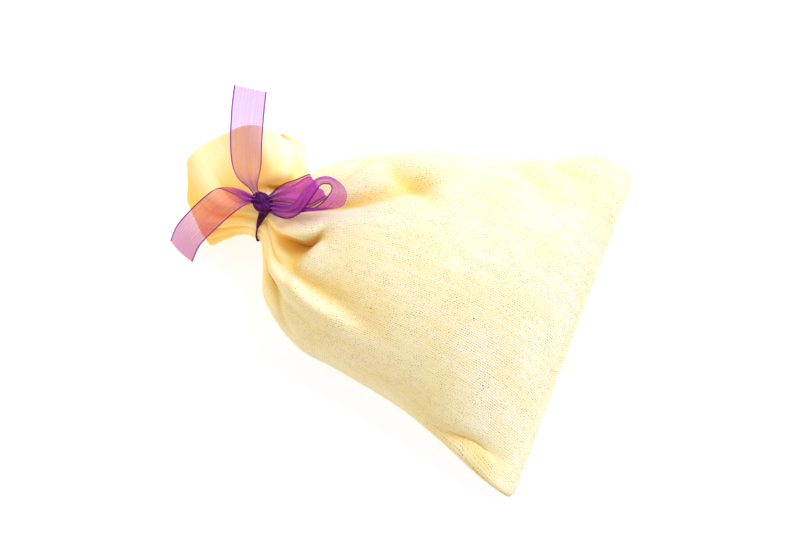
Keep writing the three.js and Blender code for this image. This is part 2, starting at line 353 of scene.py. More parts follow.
@dataclass(frozen=True)
class MuslinFinish:
    """Unbleached cotton in an open plain weave: threads, pinholes between them, slubs and seed flecks.

    Lengths are in millimetres on the cloth, and scales are for a millimetre of it. A range is where a smooth
    step starts and where it is full.
    """

    # Colours, and how far along the cloth the glow rises. The warm colour is painted shade, the orange of
    # light bounced in folds and passed through the cloth, and the glow is painted light.
    pale: Colour = (0.92, 0.81, 0.60, 1)
    deep: Colour = (0.90, 0.73, 0.39, 1)
    warm: Colour = (0.95, 0.59, 0.05, 1)
    hole: Colour = (0.14, 0.12, 0.06, 1)
    groove: Colour = (0.60, 0.48, 0.22, 1)
    fleck: Colour = (0.16, 0.10, 0.05, 1)
    glow: Colour = (0.14, 0.08, 0.005, 1)
    glow_range: Range = (95.0, 111.0)
    painted_warm_shade: float = 0.65
    # Threads: their spacing, and how they wander and shake.
    pitch: float = 0.64
    stitch: float = 0.88
    wander: float = 0.55
    wander_scale: float = 0.12
    jitter: float = 0.75
    jitter_scale: float = 0.9
    jitter_across: float = 0.5
    # Pinholes and grooves, which close towards the tie and are stronger in patches.
    closed: float = 0.85
    closed_range: Range = (80.0, 116.0)
    patch_scale: float = 0.35
    patch_stretch: float = 0.5
    patch_range: Range = (0.3, 0.7)
    gap_range: Range = (0.15, 0.65)
    luck_range: Range = (0.0, 0.8)
    hole_least: float = 0.5
    hole_share: float = 0.7
    groove_least: float = 0.4
    groove_share: float = 0.4
    groove_sharp: float = 2.0
    # Slubs, clouds and flecks.
    slub_across: float = 0.8
    slub_along: float = 0.035
    slub_detail: float = 3.0
    slub_tone: float = 0.7
    cloud_scale: float = 0.06
    cloud_tone: float = 0.7
    thread_tone: float = 0.12
    tone_from: float = 0.4
    fleck_cells: float = 0.9
    fleck_range: Range = (0.9985, 0.999)
    fleck_hole: Range = (0.0, 0.3)
    # Relief and sheen.
    pick_relief: float = 0.4
    slub_relief: float = 0.4
    hole_relief: float = 0.5
    bump: float = 0.12
    bump_depth: float = 0.0003
    roughness: float = 0.95
    specular: float = 0.15
    sheen: float = 0.2

    def material(self) -> bpy.types.Material:
        """Make the cloth's material.

        Each thread is a half wave across it, and a pinhole lies where the gaps between threads cross, with a
        random strength for each crossing that fades towards the tie. The grooves between threads are
        darker in patches, and slubs are noise stretched along the threads. A few pinholes hold a fleck.
        Where the bag marks its folds, throat and near wing, the cloth is blended towards a warm colour, a
        painted shade for light bounced in the cloth and passed through it. Light that comes through the
        gathered cloth is a painted glow that rises towards the tie.

        Returns:
            The material.
        """
        paint = Paint("muslin")
        across, along = paint.cloth_place()
        place = paint.at(across, along)
        bend = (paint.noise(place, self.wander_scale) - 0.5) * self.wander
        shake = (paint.noise(place, self.jitter_scale) - 0.5) * self.jitter
        warp = (across + bend + shake * self.jitter_across) / self.pitch
        line = (warp + 0.5).math("FLOOR")
        weft = (along + bend + shake) / self.stitch + paint.chance(paint.at(line, 0.5))
        threads, picks = warp.wave(), weft.wave()
        luck = paint.chance(paint.at(line, (weft + 0.5).math("FLOOR")))
        loose = 1 - self.closed * along.step(*self.closed_range)
        patch = paint.noise(paint.at(across, along * self.patch_stretch), self.patch_scale)
        patch = patch.step(*self.patch_range)
        gap = (1 - threads) * (1 - picks)
        hole = gap.step(*self.gap_range) * luck.step(*self.luck_range) * loose
        hole = hole * (self.hole_least + (1 - self.hole_least) * patch)
        groove = (1 - threads) ** self.groove_sharp * loose * self.groove_share
        groove = groove * (self.groove_least + (1 - self.groove_least) * patch)
        slub = paint.streaks(across, along, self.slub_across, self.slub_along, self.slub_detail)
        cloud = paint.noise(place, self.cloud_scale)
        tone = slub * self.slub_tone + cloud * self.cloud_tone + threads * self.thread_tone
        plain = paint.blend((tone - self.tone_from).step(0.0, 1.0), self.deep, self.pale)
        # Painted warm shade: the marked folds, throat and near wing are blended towards orange.
        cloth = paint.blend(paint.mark("folded") * self.painted_warm_shade, plain, self.warm)
        holed = paint.blend(hole * self.hole_share, paint.blend(groove, cloth, self.groove), self.hole)
        cell = paint.at((across * self.fleck_cells).math("FLOOR"), (along * self.fleck_cells).math("FLOOR"))
        fleck = paint.chance(cell).step(*self.fleck_range) * hole.step(*self.fleck_hole)
        height = threads * ((1 - self.pick_relief) + self.pick_relief * picks)
        height = height + slub * self.slub_relief - hole * self.hole_relief
        # Painted light: the emission near the tie is a glow for light coming through the gathered cloth.
        surface = paint.node("BsdfPrincipled", {}, {
            "Base Color": paint.blend(fleck, holed, self.fleck), "Roughness": self.roughness,
            "Normal": paint.bump(height, self.bump, self.bump_depth),
            "Specular IOR Level": self.specular, "Sheen Weight": self.sheen,
            "Emission Color": paint.blend(along.step(*self.glow_range), BLACK, self.glow),
            "Emission Strength": 1.0,
        })
        return paint.finish(surface)


@dataclass(frozen=True)
class OrganzaFinish:
    """Sheer ribbon: fine threads over a tinted see-through ground, with a dense dark edge on each side."""

    name: str
    # The dark edges and the threads, in millimetres.
    half: float = RIBBON_HALF
    edge: float = 0.45
    edge_full: float = 0.27
    pitch: float = 0.36
    # Shares that the threads cover, and where these rise.
    ground: float = 0.22
    thread: float = 0.16
    streak: float = 0.25
    streak_middle: float = 0.4
    streak_across: float = 1.6
    streak_along: float = 0.03
    streak_detail: float = 3.0
    gathered: float = 0.4
    gathered_dark: float = 0.45
    gathered_range: Range = (0.1, 0.8)
    tip: float = 0.0
    tip_range: Range = (14.0, 34.0)
    most: float = 0.96
    # Colours and relief.
    tint: Colour = (0.92, 0.60, 0.84, 1)
    lit: Colour = (0.60, 0.07, 0.52, 1)
    dark: Colour = (0.24, 0.015, 0.20, 1)
    bump: float = 0.2
    bump_depth: float = 0.0001
    roughness: float = 0.45
    sheen: float = 0.2

    def material(self) -> bpy.types.Material:
        """Make the ribbon's material.

        Threads are half waves both ways and streaks are noise along the ribbon. The share that they cover is
        more at the edges, where the ribbon is drawn in, and towards a cut end. The rest is clear and tinted.
        The threads are dark at the dense edges, and darker where the ribbon is drawn in, for its crowded
        layers and a painted shade between them.

        Returns:
            The material.
        """
        paint = Paint(self.name)
        across, along = paint.cloth_place()
        weave = (across / self.pitch).wave() * (along / self.pitch).wave()
        streak = paint.streaks(across, along, self.streak_across, self.streak_along, self.streak_detail)
        streak = streak - self.streak_middle
        edge = across.math("ABSOLUTE").step(self.half - self.edge, self.half - self.edge_full)
        packed = paint.mark("packed").step(*self.gathered_range)
        cover = self.ground + self.thread * weave + self.streak * streak + self.gathered * packed
        cover = cover + self.tip * along.step(*self.tip_range)
        # Dark at the dense edges; darker where gathered, for crowded layers and painted shade between them.
        dark = (edge + packed * self.gathered_dark).math("MINIMUM", 1.0)
        threads = paint.node("BsdfPrincipled", {}, {
            "Base Color": paint.blend(dark, self.lit, self.dark), "Roughness": self.roughness,
            "Normal": paint.bump(weave, self.bump, self.bump_depth), "Sheen Weight": self.sheen,
        })
        clear = paint.node("BsdfTransparent", {}, {"Color": self.tint})
        share = (cover + edge).math("MINIMUM", self.most)
        return paint.finish(paint.node("MixShader", {}, {0: share, 1: clear, 2: threads}))


@dataclass(frozen=True)
class WoundFinish:
    """Ribbon wound tight, so that its layers are dark and nearly solid, with fine lengthwise lines."""

    deep: Colour = (0.06, 0.004, 0.06, 1)
    lit: Colour = (0.24, 0.02, 0.19, 1)
    lit_range: Range = (0.4, 0.7)
    streak_across: float = 3.0
    streak_along: float = 0.4
    streak_detail: float = 3.0
    bump: float = 0.4
    bump_depth: float = 0.0002
    roughness: float = 0.6
    specular: float = 0.25

    def material(self) -> bpy.types.Material:
        """Make the material: streaks of noise along the winding mix two purples.

        Returns:
            The material.
        """
        paint = Paint("organza_wound")
        across, along = paint.cloth_place()
        streak = paint.streaks(across, along, self.streak_across, self.streak_along, self.streak_detail)
        # Painted highlight: the lit purple, laid in streaks along the winding over the deep one.
        surface = paint.node("BsdfPrincipled", {}, {
            "Base Color": paint.blend(streak.step(*self.lit_range), self.deep, self.lit),
            "Normal": paint.bump(streak, self.bump, self.bump_depth),
            "Roughness": self.roughness, "Specular IOR Level": self.specular,
        })
        return paint.finish(surface)


class Wave(NamedTuple):
    """A sine wave round a section: its height, how many times it goes round and its phase in radians."""

    height: float
    times: int
    phase: float = 0.0

    def at(self, angle: Array, drift: Any = 0.0) -> Array:
        """Return the wave at angles in radians, its phase drifted by more radians."""
        return self.height * np.sin(self.times * angle + self.phase + drift)


class Section(NamedTuple):
    """A section of the bag.

    It has the cloth's length so far, its centre, its half width, its heights above and below the centre, how
    it thins to the sewn sides, and a factor on that for its lower half.
    """

    along: Any
    x: Any
    y: Any
    z: Any
    wide: Any
    up: Any
    down: Any
    fin: Any
    base: Any


class Gather(NamedTuple):
    """How the tie gathers the cloth.

    It has the cloth's length so far, the pleats' depth, the spare cloth as a factor, and how far the frill
    turns, tilts and fans in degrees and draws back in its middle.
    """

    along: Any
    ripple: Any
    spare: Any
    yaw: Any
    tilt: Any
    fan: Any
    dip: Any


class Crease(NamedTuple):
    """A place on a fold's line: its x and angle, how deep the cloth sinks, its half widths and its lean.

    The first half width is towards the far side and the second towards the near side, in degrees.
    """

    x: Any
    degrees: Any
    depth: Any
    far: Any
    near: Any
    lean: Any = 0.0


class Span(NamedTuple):
    """A stretch of the cloth's length and the rows of points in it."""

    start: float
    end: float
    rows: int


SECTIONS = (
    Section(0, 98, 4.7, 3, 53, 1.3, 1.3, 0.5, 0.6),
    Section(1.5, 97.4, 4.6, 3.4, 55, 2.6, 2.2, 0.9, 0.6),
    Section(5, 95.5, 4.6, 5, 55.4, 7, 5.5, 1.5, 0.6),
    Section(17, 87, 4.7, 10, 54.4, 17, 12, 1.3, 0.6),
    Section(34, 73, 3, 15, 47.2, 24, 18, 0.85, 0.6),
    Section(52, 57, 2, 18, 40.5, 25.5, 22, 0.6, 0.6),
    Section(72, 38, 0.6, 19, 35.5, 24, 23, 0.5, 0.6),
    Section(90, 22, -1.8, 19.5, 30, 19, 22, 0.5, 0.6),
    Section(104, 10, -2, 20, 21, 12.5, 17, 0.5, 0.8),
    Section(109.6, 5.8, -0.4, 20, 12.7, 8.8, 11, 0.5, 1),
    Section(112, 3.1, 1.2, 20, 8.2, 6.6, 6.8, 0.5, 1),
    Section(115, 0, 1, 20, 7.2, 6.2, 6.2, 0.5, 1),
    Section(117.6, -2.4, 1.1, 20, 7.2, 6.2, 6.2, 0.5, 1),
    Section(120, -4.8, 1.6, 20, 8.8, 7, 7.4, 0.5, 1),
    Section(123, -7.4, 2.6, 20, 13, 8, 9.4, 0.5, 1),
    Section(128, -10.4, 7.2, 19.6, 19.6, 9, 11, 0.5, 1),
    Section(136, -15.6, 14, 18.3, 23.8, 9.5, 13.5, 0.5, 1),
    Section(146, -21.4, 21.2, 16.5, 26.6, 10, 14, 0.5, 1),
)

GATHERS = (
    Gather(0, 0, 1.01, 0, 0, 0, 0),
    Gather(60, 0, 1.03, 0, 0, 0, 0),
    Gather(80, 0, 1.06, 0, 0, 0, 0),
    Gather(98, 0.7, 1.2, 0, 0, 0, 0),
    Gather(108, 1.1, 1.3, 2, 0, 0, 0),
    Gather(112, 0.6, 1.3, 3, 0, 0, 0),
    Gather(115, 0.5, 1.3, 4, 1, 0, 0),
    Gather(117.6, 0.7, 1.3, 9, 5, 4, 0),
    Gather(120, 0.9, 1.3, 15, 10, 14, 0),
    Gather(123, 1.5, 1.2, 31, 17, 42, 0),
    Gather(128, 2.3, 1.1, 38, 23, 67, 1),
    Gather(136, 2.9, 1.1, 39, 26, 79, 1.8),
    Gather(146, 3.4, 1.1, 39, 28, 88, 2.6),
)

CREASES = {
    "pocket under the bow": (
        Crease(3, 118, 1, 4, 8), Crease(7, 109, 4, 3.5, 14), Crease(11, 102, 8, 3.5, 19),
        Crease(15, 98, 12, 3.5, 24), Crease(17, 97, 13, 3.5, 20), Crease(18.5, 96.5, 13, 3.5, 14),
        Crease(20, 96.5, 9, 4, 7), Crease(21.5, 97, 3, 4, 4), Crease(24, 98, 0, 5, 5),
    ),
    "valley along the near ridge": (
        Crease(12, 121, 0, 6, 4), Crease(17, 125, 2.6, 8, 4), Crease(22.6, 128, 3.8, 10, 4.5),
        Crease(29, 131, 3.8, 12, 5), Crease(36, 134, 3, 13, 5), Crease(43, 136, 1.6, 13, 6),
        Crease(50, 138, 0, 13, 6),
    ),
    "near ridge": (
        Crease(3, 155, 0, 6, 6), Crease(5.7, 147, -1, 6, 6), Crease(10.6, 134, -1.8, 5, 8),
        Crease(18.8, 134, -1.8, 5, 9), Crease(26.8, 137, -1.4, 5, 9), Crease(34, 141, -0.8, 6, 9),
        Crease(41, 145, 0, 7, 9),
    ),
    "lip over the pocket": (
        Crease(4, 108, 0, 6, 4), Crease(9, 96, -2, 6, 3.5, 3), Crease(14, 92, -2.4, 6, 3.2, 5),
        Crease(17, 91, -2, 6, 3.2, 4.2), Crease(20, 90, -0.8, 6, 4, 1.2), Crease(24, 89, -0.2, 7, 5),
        Crease(29, 87, 0, 8, 8),
    ),
    "valley behind the lip": (
        Crease(4, 82, 0, 6, 4), Crease(10, 78, 5, 7, 3.5), Crease(18, 75.5, 7, 8, 3.5),
        Crease(26, 73, 6.6, 9, 4), Crease(31, 70, 5.4, 9, 5), Crease(37, 64, 4.2, 9, 6),
        Crease(43, 58, 2.6, 9, 7), Crease(50, 58, 0, 9, 8),
    ),
    "dent on top": (
        Crease(28, 42, 0, 8, 8), Crease(32, 47, 3.5, 8, 7), Crease(37, 53, 5, 8, 6),
        Crease(42, 59, 4.6, 8, 6), Crease(48, 67, 2.4, 8, 7), Crease(55, 73, 0, 9, 9),
    ),
    "far shoulder": (
        Crease(12, 62, 0, 8, 8), Crease(20, 48, 3, 9, 8), Crease(24, 34, 2.8, 9, 8),
        Crease(29, 18, 0, 9, 9),
    ),
    "near shoulder pleat": (
        Crease(3, 135, 0, 5, 5), Crease(8.6, 143, 2.6, 4.5, 6), Crease(11.6, 147, 3.2, 5, 7),
        Crease(15, 156, 3, 6, 8), Crease(18, 168, 2, 7, 9), Crease(23, 177, 0, 8, 9),
    ),
    "near corner": (
        Crease(66, 178, 0, 6, 6), Crease(72, 173.5, 3, 7, 7), Crease(80, 162, 5, 8, 11),
        Crease(87, 157.5, 4.4, 8, 12), Crease(91.6, 154.5, 2.2, 8, 11), Crease(95, 152, 0, 8, 7),
    ),
    "far corner": (
        Crease(60, 18, 0, 8, 8), Crease(64, 23.5, 2.2, 8, 7), Crease(72, 40, 3, 8, 6),
        Crease(79, 49, 2.8, 8, 6), Crease(84, 53, 1.5, 8, 7), Crease(90, 56, 0, 8, 8),
    ),
    "far corner, outer": (
        Crease(73, 18, 0, 7, 7), Crease(77, 26, 2.2, 7, 5), Crease(87, 40, 2, 7, 6),
        Crease(92, 44, 0, 7, 7),
    ),
}


@dataclass
class Bag:
    """The muslin bag: two panels sewn on three sides, stuffed, gathered at the neck and fanned beyond it."""

    # The grid: its columns, which crowd at a share of each panel, and its rows.
    columns: int = 132
    crowd: float = 0.4
    crowded_at: float = 0.64
    fine_angles: int = 361
    spans: tuple[Span, ...] = (
        Span(0, 6, 5), Span(6, 76, 27), Span(76, 112, 36), Span(112, 122, 10), Span(122, 146, 14),
    )
    # The cloth as it was cut, its seams and its wall, in millimetres.
    flat_width: float = 108.0
    seam_half: float = 0.5
    seam_uv: float = 0.33
    thick: float = 0.5
    # The pleats at the tie, the broad waves that they run into towards the hem, and the frill's fan.
    pleats: int = 12
    pleat_drift: Wave = Wave(9.0, 2, 1.0)
    pleat_point: float = 1.25
    pleat_uneven: tuple[Wave, Wave] = (Wave(0.25, 3, 0.7), Wave(0.2, 5, 2.1))
    broad_wave: Wave = Wave(0.6, 5, 0.6)
    broad_ripple: Wave = Wave(0.35, 8, 2.2)
    broad_from: float = 117.0
    broad_to: float = 138.0
    near_fan: float = 0.75
    least_fan: float = 1e-4
    # The stuffing, and the settling round it, in which a millimetre is sim_scale units.
    fill: float = 0.7
    stretch: float = 1.02
    sim_scale: float = 0.01
    sim_steps: int = 25
    sim_quality: int = 6
    tension: float = 15.0
    compression: float = 10.0
    shear: float = 4.0
    bending: float = 0.3
    pressure: float = 1.2
    # What holds still, how far the rest may move, and the depth of fold that halves its move.
    tie_along: float = 111.0
    rest_height: float = 0.3
    corner: float = 24.0
    limit: float = 2.5
    side_hold: float = 0.8
    keep: float = 2.0
    # Where the cloth is painted with warm shade, for light bounced in its folds and passed through it.
    fold_full: float = 6.5
    wing_from: float = 116.0
    wing_full: float = 128.0
    throat_warmth: float = 0.85
    throat_full: float = 120.0
    throat_end: float = 140.0
    finish: MuslinFinish = field(default_factory=MuslinFinish)

    def folds(self, x: Array, degrees: Array) -> tuple[Array, Array]:
        """Sum the folds that are pressed into the body.

        A fold is a bell across its line, sunk where its depth is positive and raised where it is negative.
        Its lean shifts the bell round the section.

        Args:
            x: places along the bag.
            degrees: angles round it.

        Returns:
            How far the cloth sinks, and how far it shifts round the section, in millimetres.
        """
        sink = np.zeros_like(x)
        shift = np.zeros_like(x)
        for rows in CREASES.values():
            line = read_table(rows, x)
            off = degrees - line.degrees
            bell = np.exp(-((off / np.where(off < 0, line.far, line.near)) ** 2))
            sink += line.depth * bell
            shift += line.lean * bell
        return sink, shift

    def pleat_depth(self, angle: Array, along: Array) -> Array:
        """Work out the pleats round the section.

        At the tie they are many, with round ridges and sharp valleys of uneven depth. Towards the hem they
        run together into a few broad waves.

        Args:
            angle: angles round the section, in radians.
            along: lengths along the cloth.

        Returns:
            The depth, from about -1 at a ridge to 1 in a valley.
        """
        drift = np.radians(self.pleat_drift.at(angle))
        ridge = np.abs(np.sin(self.pleats * (angle + drift) / 2))
        uneven = 1 + sum(wave.at(angle) for wave in self.pleat_uneven)
        tight = (2 * (1 - ridge) ** self.pleat_point - 1) * uneven
        broad = self.broad_wave.at(angle, np.sin(angle)) + self.broad_ripple.at(angle)
        share = ramp(along, self.broad_from, self.broad_to)
        return tight + (broad - tight) * share**2 * (3 - 2 * share)

    def surface(self, along: Array, degrees: Array) -> Array:
        """Work out points of the cloth.

        A section is an ellipse whose height is raised to a power so that it thins to the sewn sides. Folds
        and pleats sink it along its normal. It is then bent into the frill's fan, turned, tilted and laid
        down.

        Args:
            along: lengths along the cloth from the bottom seam.
            degrees: angles round it, 0 at the far seam and 90 on top.

        Returns:
            Points in millimetres, on a last axis of three.
        """
        section = read_table(SECTIONS, along)
        gather = read_table(GATHERS, along)
        angle = np.radians(degrees)
        cosine, sine = np.cos(angle), np.sin(angle)
        height = np.where(sine >= 0, section.up, section.down)
        power = 2 * section.fin * np.where(sine >= 0, 1, section.base)
        sink, shift = self.folds(section.x, degrees)
        sink = sink + gather.ripple * self.pleat_depth(angle, along)
        normal = unit(np.stack([cosine / section.wide, sine / height], -1))
        across = section.wide * cosine - sink * normal[..., 0] - shift * normal[..., 1]
        full = height * np.abs(sine) ** power * np.sign(sine)
        lift = np.abs(full - sink * normal[..., 1] + shift * normal[..., 0])
        rise = np.where(np.abs(sine) < TINY, 0, np.sign(sine) * np.maximum(lift, self.seam_half))
        return self.place(section, gather, across, rise)

    def place(self, section: Section, gather: Gather, across: Array, rise: Array) -> Array:
        """Put points of the sections in their place.

        A section is bent into an arc of the frill's fan, which opens less on the near side. Its middle is
        drawn back, and it is turned, tilted and laid down, no lower than the surface.

        Args:
            section: the sections' columns.
            gather: the gathers' columns.
            across: offsets across each section.
            rise: offsets up from its middle.

        Returns:
            Points in millimetres, on a last axis of three.
        """
        fan = np.maximum(np.radians(gather.fan), self.least_fan) * np.where(across < 0, self.near_fan, 1)
        spread = fan * across / section.wide
        sideways = section.wide * np.sin(spread) / fan
        middle = 1 - (across / section.wide) ** 2
        back = section.wide * (1 - np.cos(spread)) / fan + gather.dip * middle * np.abs(middle)
        yaw, tilt = np.radians(gather.yaw), np.radians(gather.tilt)
        level = sideways * np.cos(tilt) - rise * np.sin(tilt)
        high = section.z + sideways * np.sin(tilt) + rise * np.cos(tilt)
        x = section.x + level * np.sin(yaw) + back * np.cos(yaw)
        y = section.y + level * np.cos(yaw) - back * np.sin(yaw)
        return np.stack([x, y, np.maximum(high, 0)], -1)

    def shares(self) -> Array:
        """Spread the columns over a panel, closer together at the deep folds.

        They are even shares less a sine wave, which rises most steeply where the columns crowd.

        Returns:
            Each column's share of the panel's width, from 0 to 1.
        """
        t = np.linspace(0, 1, self.columns // 2 + 1)
        wave = np.sin(2 * np.pi * (t - self.crowded_at)) + np.sin(2 * np.pi * self.crowded_at)
        return t - self.crowd / (2 * np.pi) * wave

    def even_angles(self, along: Array) -> Array:
        """Find the angle of each column round each section.

        The length round a plain section is summed over a fine set of angles, and the angles at the columns'
        shares of each panel's length are read back from it.

        Args:
            along: the length along the cloth of each row.

        Returns:
            Angles in degrees, a row for each row of the cloth.
        """
        fine = np.linspace(0, 180, self.fine_angles)
        section = read_table(SECTIONS, along[:, None] + 0 * fine)
        angles = []
        for top in (True, False):
            height = section.up if top else section.down
            power = 2 * section.fin * (1 if top else section.base)
            rise = height * np.sin(np.radians(fine)) ** power
            outline = np.stack([section.wide * np.cos(np.radians(fine)), rise], -1)
            steps = np.linalg.norm(np.diff(outline, axis=1), axis=-1)
            length = np.concatenate([np.zeros((len(along), 1)), np.cumsum(steps, 1)], 1)
            columns = self.shares()[:-1] if top else self.shares()[:0:-1]
            found = np.stack([np.interp(columns, row, fine) for row in length / length[:, -1:]])
            angles.append(found if top else 360 - found)
        return np.concatenate(angles, 1)

    def full_cut(self, points: Array, along: Array) -> Array:
        """Lay the bag out as a round sleeve with all of its cloth.

        A row's ring is as long as the cloth is round the bag there, times its spare, and the rows are as far
        apart as they are on the bag on average, stretched a little.

        Args:
            points: the grid of points.
            along: the length along the cloth of each row.

        Returns:
            The grid of points of the sleeve.
        """
        ring = np.linalg.norm(np.roll(points, -1, axis=1) - points, axis=-1).sum(1)
        share = self.shares()
        radius = (ring * read_table(GATHERS, along).spare / (2 * np.pi))[:, None]
        gaps = np.linalg.norm(np.diff(points, axis=0), axis=-1).mean(1) * self.stretch
        turn = np.pi * np.concatenate([share[:-1], 2 - share[:0:-1]])
        x = -np.append(0, np.cumsum(gaps))[:, None] + 0 * turn
        return np.stack([x, radius * np.cos(turn), radius * np.sin(turn)], -1)

    def settle(self, points: Array, along: Array, faces: Array, give: Array) -> Array:
        """Let the cloth settle round its stuffing by simulation, from the worked-out shape.

        The cloth is as large as it was cut, so that the spare of it buckles into folds. The tie, the frill
        and what lies on the surface hold still, and no point moves further than a limit.

        Args:
            points: the grid of points.
            along: the length along the cloth of each row.
            faces: the bag's faces.
            give: the share of its move that each point keeps.

        Returns:
            The settled grid of points.
        """
        trial = add_mesh("settling", points * self.sim_scale, faces)
        trial.shape_key_add(name="start")
        cut = trial.shape_key_add(name="cut")
        cut.data.foreach_set("co", (self.full_cut(points, along) * self.sim_scale).ravel())
        still = (along[:, None] > self.tie_along) | (points[..., 2] < self.rest_height)
        still[0] = True
        still[along < self.corner, :: self.columns // 2] = True
        group = trial.vertex_groups.new(name="still")
        group.add(np.flatnonzero(still.ravel()).tolist(), 1.0, "REPLACE")
        cloth = trial.modifiers.new("cloth", "CLOTH").settings
        cloth.rest_shape_key = cut
        cloth.vertex_group_mass = "still"
        cloth.quality = self.sim_quality
        cloth.tension_stiffness = self.tension
        cloth.compression_stiffness = self.compression
        cloth.shear_stiffness = self.shear
        cloth.bending_stiffness = self.bending
        cloth.use_pressure = True
        cloth.uniform_pressure_force = self.pressure
        cloth.effector_weights.gravity = 0
        for step in range(1, self.sim_steps + 1):
            bpy.context.scene.frame_set(step)
        settled = trial.evaluated_get(bpy.context.evaluated_depsgraph_get()).data
        found = np.empty(points.size, np.float32)
        settled.vertices.foreach_get("co", found)
        bpy.data.objects.remove(trial)
        bpy.context.scene.frame_set(1)
        moved = found.reshape(points.shape) / self.sim_scale - points
        far = np.linalg.norm(moved, axis=-1, keepdims=True)
        log.info("the cloth moved %.2f mm on average and %.2f mm at most", far.mean(), far.max())
        points = points + moved * give[..., None] * self.limit / np.maximum(far, self.limit)
        points[..., 2] = np.maximum(points[..., 2], 0)
        return points

    def panel_uv(self, along: Array) -> Array:
        """Lay each panel out flat, as it was cut: its width from its middle, and its length.

        Args:
            along: the length along the cloth of each row.

        Returns:
            A place on the cloth for each corner of each face of the grid, in millimetres.
        """
        place = (self.shares() - 0.5) * self.flat_width
        left = np.concatenate([place[:-1], place[:0:-1]])
        right = np.concatenate([place[1:], place[-2::-1]])
        u = np.broadcast_to(np.stack([left, right, right, left], -1), (len(along) - 1, self.columns, 4))
        v = np.stack([along[:-1], along[:-1], along[1:], along[1:]], -1)[:, None] + 0 * u
        return np.stack([u, v], -1).reshape(-1, 2)

    def painted_warm_shade(self, along: Array, degrees: Array, sunk: Array) -> Array:
        """Work out where the cloth is painted warm.

        This painted shade stands for light bounced between folds and passed through the cloth: it lies in its
        folds and pleats, past the tie until the throat's end, and over the frill's near wing.

        Args:
            along: lengths along the cloth.
            degrees: angles round it, 0 at the far seam and 90 on top.
            sunk: how far its folds and pleats sink it.

        Returns:
            The painted warm shade, from 0 to 1.
        """
        near = np.clip(-np.cos(np.radians(degrees)), 0, 1)
        wing = ramp(along, self.wing_from, self.wing_full) * np.sqrt(near)
        throat = ramp(along, self.wing_from, self.throat_full) * ramp(along, self.throat_end, self.wing_full)
        return np.clip(sunk / self.fold_full + np.maximum(wing, self.throat_warmth * throat), 0, 1)

    def build(self) -> bpy.types.Object:
        """Build and dress the bag.

        A grid goes round the cloth and along it, and faces between its two panels close the bottom seam.

        Returns:
            The piece.
        """
        stops = [np.linspace(span.start, span.end, span.rows, endpoint=False) for span in self.spans]
        along = np.append(np.concatenate(stops), self.spans[-1].end)
        degrees = self.even_angles(along)
        grid = along[:, None] + 0 * degrees
        points = self.surface(grid, degrees)
        column = np.arange(self.columns // 2)
        sewn = np.stack([column + 1, column, -column % self.columns, self.columns - 1 - column], -1)
        faces = np.concatenate([grid_faces(len(along), self.columns, True), sewn])
        pressed = self.folds(read_table(SECTIONS, grid).x, degrees)[0]
        pleated = read_table(GATHERS, grid).ripple * self.pleat_depth(np.radians(degrees), grid)
        free = 1 - self.side_hold * np.cos(np.radians(degrees)) ** 2
        points = self.settle(points, along, faces, free / (1 + (pressed / self.keep) ** 2))
        uv = np.concatenate([self.panel_uv(along), np.full((4 * len(sewn), 2), self.seam_uv)])
        bag = make_piece("bag_cloth", points, faces, uv, Slot.MUSLIN, "bag")
        # Painted warm shade, carried to the muslin as a mark on each point.
        mark_points(bag, "folded", self.painted_warm_shade(grid, degrees, pressed + pleated))
        bag.data.materials.append(self.finish.material())
        smooth = bag.modifiers.new("smooth", "SUBSURF")
        smooth.levels = smooth.render_levels = 1
        wall = bag.modifiers.new("wall", "SOLIDIFY")
        wall.thickness = self.thick * MM
        wall.offset = -1
        return bag


class StripRow(NamedTuple):
    """A place on a ribbon stretch.

    It has the row's number, its centre, half width and direction across, how much of its crimps show, how far
    its middle bows up, and the width of the edge that is turned over.
    """

    at: Any
    x: Any
    y: Any
    z: Any
    half: Any
    ax: Any
    ay: Any
    az: Any
    crimp: Any = 0.0
    bow: Any = 0.0
    turned: Any = 0.0


